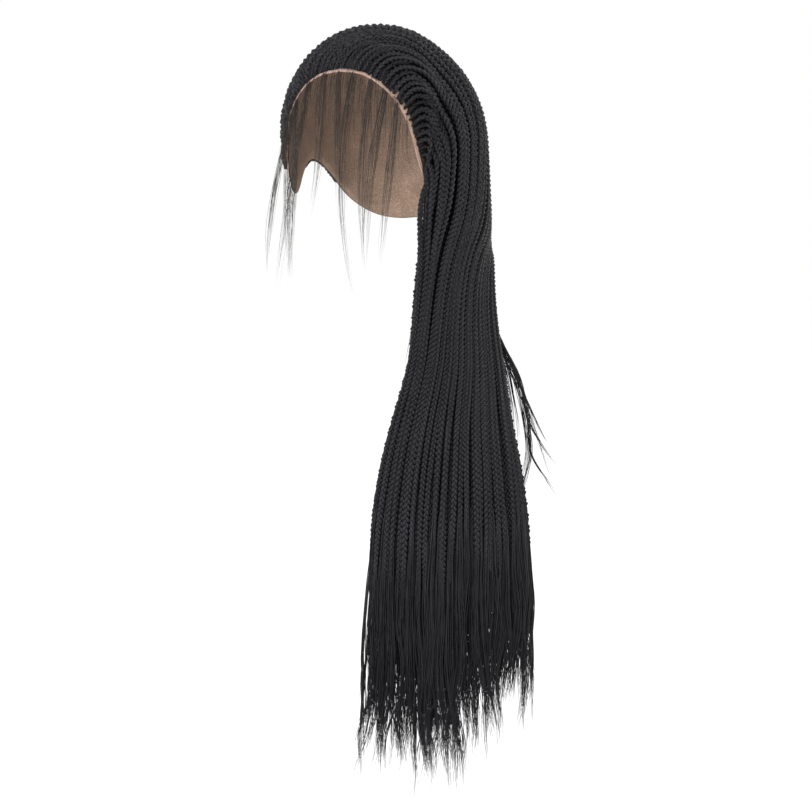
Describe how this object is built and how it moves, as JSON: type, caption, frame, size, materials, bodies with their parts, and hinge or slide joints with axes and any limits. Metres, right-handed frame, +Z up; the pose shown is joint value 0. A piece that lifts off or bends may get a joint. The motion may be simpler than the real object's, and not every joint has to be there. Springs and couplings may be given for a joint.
{
  "type": "braided wig",
  "caption": "Long braided wig in its worn form, swept back from a lace hairline and hung in front of the left shoulder, with a hollow cap for the head.",
  "frame": {"origin": "inside of the cap's crown, where it sits on the head", "axes": "+Z up along the wearer's height, -Y the way the wearer faces, +X the wearer's left"},
  "size_m": [0.2542, 0.2264, 0.6558],
  "materials": {
    "hair": "satin black braided fibre",
    "cap_net": "matte net, dark outside and tan inside",
    "lace": "matte sheer lace"
  },
  "bodies": {
    "root": {"cap": "cap_net", "lace_front": "lace", "baby_hair": "hair", "lock_outer_01": "hair", "lock_outer_02": "hair", "lock_outer_03": "hair", "lock_outer_04": "hair", "lock_outer_05": "hair", "lock_outer_06": "hair", "lock_outer_07": "hair", "lock_outer_08": "hair", "lock_outer_09": "hair", "lock_outer_10": "hair", "lock_outer_11": "hair", "lock_middle_01": "hair", "lock_middle_02": "hair", "lock_middle_03": "hair", "lock_middle_04": "hair", "lock_middle_05": "hair", "lock_middle_06": "hair", "lock_middle_07": "hair", "lock_middle_08": "hair", "lock_middle_09": "hair", "lock_inner_01": "hair", "lock_inner_02": "hair", "lock_inner_03": "hair", "lock_inner_04": "hair", "lock_inner_05": "hair", "lock_inner_06": "hair", "lock_inner_07": "hair", "strand_back_1": "hair", "strand_back_2": "hair"}
  },
  "joints": []
}
